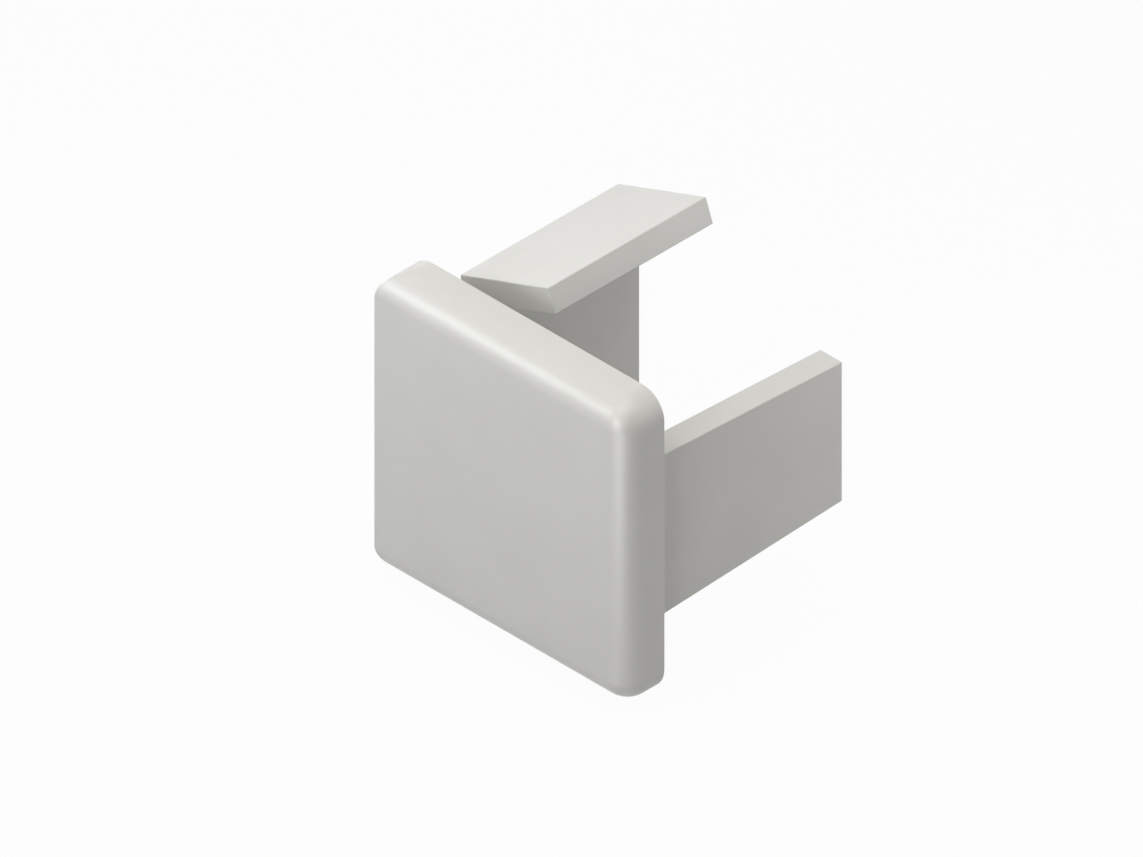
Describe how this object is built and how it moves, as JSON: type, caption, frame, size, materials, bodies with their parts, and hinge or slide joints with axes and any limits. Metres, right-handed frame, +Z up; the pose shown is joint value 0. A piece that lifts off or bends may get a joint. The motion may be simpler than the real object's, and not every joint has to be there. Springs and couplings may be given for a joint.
{
  "type": "profile end cap",
  "caption": "Moulded end cap for a small rectangular profile: a rounded cover plate with flat legs and sprung lips that grip inside the profile's end.",
  "frame": {"origin": "centre of the cover plate's back face, in the plane that the profile's end bears on", "axes": "+Y into the profile, along the legs; +Z up; -X is the base side, towards the wall that carries the profile, and +X the cover side"},
  "size_m": [0.0204, 0.018, 0.0216],
  "materials": {
    "plastic": "fine matt moulded surface, light grey"
  },
  "bodies": {
    "root": {"end_cap": "plastic"}
  },
  "joints": []
}
